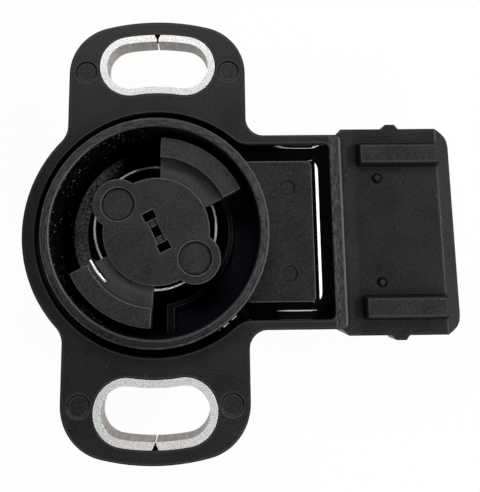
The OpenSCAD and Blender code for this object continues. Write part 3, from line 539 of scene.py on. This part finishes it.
FINISHES = {
    "housing_plastic": housing_finish(),
    "cover_plastic": cover_finish(),
    "rotor_plastic": rotor_finish(),
    "bush_metal": bush_finish(),
    "spring_steel": wire_finish(),
    "sealant": sealant_finish(),
}
# Pieces inside: colour, roughness, metallic, size of grain and its depth in millimetres
for slot_name, *look in (
    ("holder_plastic", (0.3, 0.26, 0.2), 0.5, 0.0, 0.3, 0.005),
    ("contact_metal", (0.72, 0.5, 0.26), 0.3, 1.0, 0.2, 0.003),
    ("plate_ceramic", (0.78, 0.76, 0.7), 0.6, 0.0, 0.2, 0.004),
    ("track_ink", (0.02, 0.022, 0.02), 0.5, 0.0, 0.15, 0.003),
    ("terminal_metal", (0.72, 0.7, 0.66), 0.28, 1.0, 0.3, 0.003),
    ("solder", (0.62, 0.62, 0.64), 0.3, 1.0, 0.4, 0.01),
):
    FINISHES[slot_name] = plain_finish(slot_name, *look)
SLOT_OF = {p["node"]: p["material_slot"] for p in frame["record"]["subparts"]}

for node_name, obj in NODES.items():
    obj.data.materials.clear()
    obj.data.materials.append(FINISHES[SLOT_OF[node_name]])


def ray_to_outline(angle, circle_r, end_x, half_w):
    """Distance from the axis to the edge of a circle joined with a rectangle towards +X."""
    c, s = math.cos(angle), math.sin(angle)
    if c <= 0:
        return circle_r
    to_end = end_x / c
    to_side = half_w / abs(s) if s else to_end
    return max(circle_r, min(to_end, to_side))


def rise(distance, slope, width, softness):
    """Height of a surface that climbs to a wall at an even slope over that width."""
    return slope * softness * np.logaddexp(0, (width - distance) / softness)


def share(value, softness):
    """Soft step from 0 to 1 at value 0."""
    return 1 / (1 + np.exp(-np.clip(value / softness, -40, 40)))


def resin_rise(x, y):
    """The resin climbs far up the tab's end and the lower wall, and little elsewhere."""
    from_axis = math.hypot(x, y)
    beyond, aside = x - TAB_END_X, abs(y) - TAB_HALF_W
    to_inner = min(from_axis - COLLAR_R, math.hypot(max(beyond, 0), max(aside, 0)))
    to_outer = max(WELL_R - from_axis, min(WELL_END_X - x, WELL_HALF_W - abs(y)))

    # Ridge along the tab's end, narrower towards its corners
    along_end = share(0.25 - aside, 0.15) if beyond > -0.01 else 0
    slope, width, softness = END_RISE
    taper = 0.5 * share(aside + 0.25, 0.25)
    height = along_end * (rise(beyond, slope, width - taper, softness) - rise(beyond, *END_BENCH))

    # Round the collar, with a swelling on its lower right
    near_collar = share(13.0 - x, 0.4)
    swell, direction, spread = SWELL
    height += near_collar * rise(from_axis - COLLAR_R, *COLLAR_RISE)
    height += near_collar * swell * math.exp(-((math.atan2(y, x) - direction) / spread) ** 2)
    height += LIP[0] * math.exp(-max(to_inner, 0) / LIP[1])

    # Up the well's walls, more beside the tab than elsewhere
    short_of_end = share(0.9 - beyond, 0.2)
    along_top = share(y - TAB_HALF_W, 0.2) * share(x - 15.0, 1.0) * short_of_end
    along_low = share(-y - TAB_HALF_W, 0.2) * share(x - 12.5, 0.3) * short_of_end
    height += along_top * rise(to_outer, *TOP_RISE) + along_low * rise(to_outer, *LOW_RISE)
    return height + (1 - max(along_top, along_low)) * rise(to_outer, *WALL_RISE)


def join_rings(bm, rings, closed):
    """Faces between neighbouring rings of points, and from the last to the first if closed."""
    for ring, following in zip(rings, rings[1:] + rings[:1] if closed else rings[1:]):
        for k in range(len(ring)):
            n = (k + 1) % len(ring)
            bm.faces.new((ring[k], ring[n], following[n], following[k]))


def finish_mesh(bm, name, slot):
    """Smooth object from a mesh, with the slot's finish."""
    bmesh.ops.recalc_face_normals(bm, faces=bm.faces)
    mesh = bpy.data.meshes.new(name)
    bm.to_mesh(mesh)
    bm.free()
    mesh.shade_smooth()
    piece = bpy.data.objects.new(name, mesh)
    bpy.context.scene.collection.objects.link(piece)
    piece.data.materials.append(FINISHES[slot])
    return piece


def sealant_piece():
    """Resin with a surface that climbs the walls on both sides of its channel."""
    angles = set(np.radians(np.arange(0, 360, RESIN_STEP)).tolist())
    for end_x, half_w in ((TAB_END_X, TAB_HALF_W), (WELL_END_X, WELL_HALF_W)):
        corner = math.atan2(half_w, end_x)
        for turn in (-0.004, 0.0, 0.004):
            angles.update(((corner + turn) % math.tau, (-corner + turn) % math.tau))
    bm = bmesh.new()
    rings = []
    for a in sorted(angles):
        c, s = math.cos(a), math.sin(a)
        inner = ray_to_outline(a, COLLAR_R, TAB_END_X, TAB_HALF_W)
        outer = ray_to_outline(a, WELL_R, WELL_END_X, WELL_HALF_W)
        across = [(c * r, s * r) for r in np.linspace(inner, outer, RESIN_POINTS)]
        ring = [(x, y, SEAL_TOP + resin_rise(x, y)) for x, y in across]
        ring += [(c * r, s * r, SEAL_BASE) for r in (outer, inner)]
        rings.append([bm.verts.new(Vector(p) * MM) for p in ring])
    join_rings(bm, rings, closed=True)
    return finish_mesh(bm, "potting_resin", "sealant")


def coil_place(distance, angle, z):
    """Point at a distance outside the coil, at an angle about its centre."""
    a = math.radians(angle)
    r = COIL_R + distance
    return Vector((COIL_CENTRE[0] + r * math.cos(a), COIL_CENTRE[1] + r * math.sin(a), z))


def spring_path():
    """Leg on the drive arm, hook beside it, the coil and the leg in the cover."""
    points = [coil_place(d, angle, LEG_Z - depth) for d, angle, depth in LEG_STEPS]
    for t in np.linspace(0, COIL_TURNS, COIL_POINTS):
        points.append(coil_place(0, COIL_START + 360 * t, -COIL_TOP - COIL_PITCH * t))
    last_angle, last_z = COIL_START + 360 * COIL_TURNS, -COIL_TOP - COIL_PITCH * COIL_TURNS
    points += [coil_place(d, last_angle, last_z) for d in ANCHOR_STEPS]
    return points


def spring_piece():
    """Round wire along the path, with each ring turned as little as possible from the last."""
    bm = bmesh.new()
    points = spring_path()
    rings = []
    side = None
    for i, p in enumerate(points):
        along = (points[min(i + 1, len(points) - 1)] - points[max(i - 1, 0)]).normalized()
        side = along.cross(Vector((0, 0, 1))) if side is None else side - along * side.dot(along)
        side.normalize()
        third = side.cross(along)
        ring = []
        for a in (math.tau * k / WIRE_SIDES for k in range(WIRE_SIDES)):
            ring.append(bm.verts.new((p + (side * math.cos(a) + third * math.sin(a)) * WIRE_D / 2) * MM))
        rings.append(ring)
    join_rings(bm, rings, closed=False)
    bm.faces.new(rings[0][::-1])
    bm.faces.new(rings[-1])
    return finish_mesh(bm, "return_spring_wire", "spring_steel")


resin = sealant_piece()
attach(resin, "base")
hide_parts("sealant")

spring = spring_piece()
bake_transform(spring)
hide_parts("return_spring")


def shadow_floor():
    """Pale floor under the sensor that shows white to the camera and keeps a soft shadow."""
    s = Shader("floor", (0.9, 0.9, 0.9), 0.9, specular=0.1)
    light = s.nodes.new("ShaderNodeEmission")
    light.inputs["Strength"].default_value = 1.0
    path = s.nodes.new("ShaderNodeLightPath")
    seen = s.most(path.outputs["Is Camera Ray"], path.outputs["Is Glossy Ray"])
    blend = s.nodes.new("ShaderNodeMixShader")
    s.feed(blend.inputs[0], s.times(seen, FLOOR_WHITE))
    s.feed(blend.inputs[1], s.surface.outputs[0])
    s.feed(blend.inputs[2], light.outputs[0])
    s.feed(s.nodes["Material Output"].inputs["Surface"], blend.outputs[0])
    bpy.ops.mesh.primitive_plane_add(size=FLOOR_SIZE, location=(0, 0, cad_box[0][2] - FLOOR_GAP))
    floor = bpy.context.object
    floor.name = "floor"
    floor.data.materials.append(s.material)


def sky():
    """White to the camera; for the light, bright near the horizon and dimmer overhead."""
    world = bpy.data.worlds.new("studio")
    bpy.context.scene.world = world
    world.use_nodes = True
    nodes, links = world.node_tree.nodes, world.node_tree.links
    background = nodes["Background"]
    background.inputs["Color"].default_value = (1, 1, 1, 1)
    up = nodes.new("ShaderNodeSeparateXYZ")
    links.new(nodes.new("ShaderNodeTexCoord").outputs["Generated"], up.inputs[0])
    fade = nodes.new("ShaderNodeMapRange")
    for name, value in (("From Min", 0.1), ("From Max", 0.6), ("To Min", 0.7), ("To Max", 0.03)):
        fade.inputs[name].default_value = value
    links.new(up.outputs["Z"], fade.inputs["Value"])
    seen = nodes.new("ShaderNodeLightPath").outputs["Is Camera Ray"]
    strength = nodes.new("ShaderNodeMix")
    links.new(seen, strength.inputs["Factor"])
    links.new(fade.outputs[0], strength.inputs["A"])
    strength.inputs["B"].default_value = 1.0
    links.new(strength.outputs["Result"], background.inputs["Strength"])


def soft_box(name, place, size, power):
    """Rectangular lamp that faces the sensor, with its first side level."""
    light = bpy.data.lights.new(name, "AREA")
    light.shape = "RECTANGLE"
    light.size, light.size_y = size
    light.energy = power
    lamp = bpy.data.objects.new(name, light)
    lamp.location = place
    lamp.rotation_mode = "QUATERNION"
    lamp.rotation_quaternion = (-Vector(place)).to_track_quat("-Z", "Y")
    bpy.context.scene.collection.objects.link(lamp)


def camera():
    """Camera above the sensor, a little to its right and front."""
    data = bpy.data.cameras.new("camera")
    data.sensor_width = 36
    data.lens = CAMERA_LENS
    data.shift_x, data.shift_y = CAMERA_SHIFT
    data.clip_start = 0.005
    lens = bpy.data.objects.new("camera", data)
    lens.location = Vector(CAMERA_PLACE) * MM
    lens.rotation_euler = [math.radians(a) for a in CAMERA_TURN]
    bpy.context.scene.collection.objects.link(lens)
    bpy.context.scene.camera = lens


shadow_floor()
sky()
for lamp_row in LAMPS:
    soft_box(*lamp_row)
camera()
bpy.context.scene.view_settings.view_transform = "Standard"
